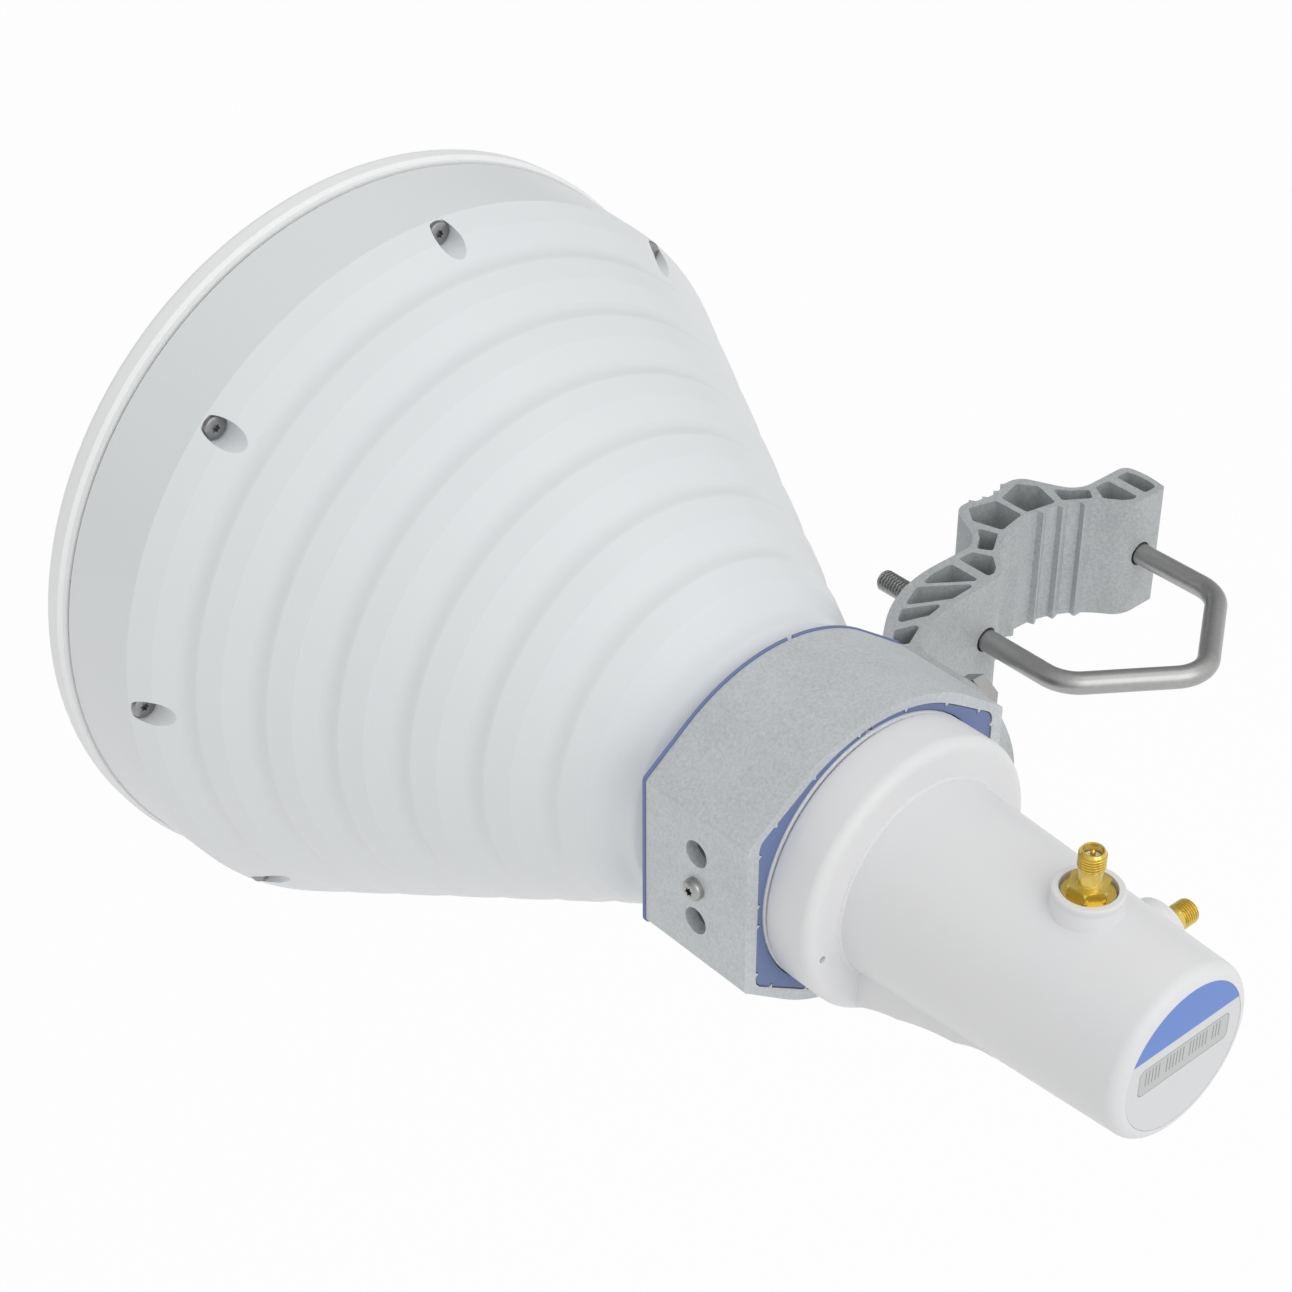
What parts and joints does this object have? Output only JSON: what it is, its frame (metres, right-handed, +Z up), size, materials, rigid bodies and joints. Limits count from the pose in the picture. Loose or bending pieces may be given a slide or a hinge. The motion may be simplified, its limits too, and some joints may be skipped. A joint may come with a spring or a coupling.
{
  "type": "horn antenna",
  "caption": "Ridged white horn antenna with a coaxial adapter, held in a toothed collar on an extruded aluminium bracket with a V-bolt for a pole.",
  "frame": {"origin": "on the pole axis, at mid-height of the bracket arm, level with the horn axis", "axes": "+Z up along the pole, +Y the way the horn looks, +X from the horn towards the bracket's free end"},
  "size_m": [0.2568, 0.2958, 0.21],
  "materials": {
    "cast_white": "smooth white powder coat on cast aluminium",
    "white_plastic": "matte moulded white plastic",
    "rubber_seal": "matte rubber",
    "stainless": "satin stainless steel",
    "bare_aluminium": "matte bead-blasted extrusion",
    "blue_plastic": "matte blue moulded plastic",
    "label_film": null,
    "gold_plate": "gold plated brass",
    "white_insulator": "white insulator"
  },
  "bodies": {
    "bracket": {"bracket_arm": "bare_aluminium", "v_bolt_washers": "stainless", "v_bolt_nuts": "stainless"},
    "pole_bolt": {"v_bolt": "stainless"},
    "collar": {"clamp_band": "bare_aluminium", "band_liner": "blue_plastic", "nut_saddles": "stainless", "saddle_screws": "stainless", "foot_bolts": "stainless", "foot_washers": "stainless", "foot_spring_washers": "stainless"},
    "horn": {"horn_shell": "cast_white", "radome_cap": "white_plastic", "radome_seal": "rubber_seal", "cap_screws": "stainless"},
    "adapter": {"adapter_housing": "white_plastic", "waveguide_core": "bare_aluminium", "core_screws": "stainless", "port_seal": "rubber_seal", "end_label": "label_film", "top_jack_body": "gold_plate", "top_jack_washer": "gold_plate", "top_jack_insulator": "white_insulator", "top_jack_pin": "gold_plate", "side_jack_body": "gold_plate", "side_jack_washer": "gold_plate", "side_jack_insulator": "white_insulator", "side_jack_pin": "gold_plate"}
  },
  "joints": [
    {"name": "pole_bolt_slide", "type": "slide", "parent": "bracket", "child": "pole_bolt", "axis": [0, 1, 0], "range_m": [-0.014, 0.018]},
    {"name": "tilt", "type": "hinge", "parent": "bracket", "child": "collar", "pos_m": [-0.0685, -0.0113, 0], "axis": [1, 0, 0], "range_deg": [-20, 20]},
    {"name": "roll", "type": "hinge", "parent": "collar", "child": "horn", "pos_m": [-0.1125, -0.0113, 0], "axis": [0, 1, 0], "continuous": true},
    {"name": "adapter_twist", "type": "hinge", "parent": "horn", "child": "adapter", "pos_m": [-0.1125, -0.03, 0], "axis": [0, 1, 0], "range_deg": [-35, 0]}
  ]
}
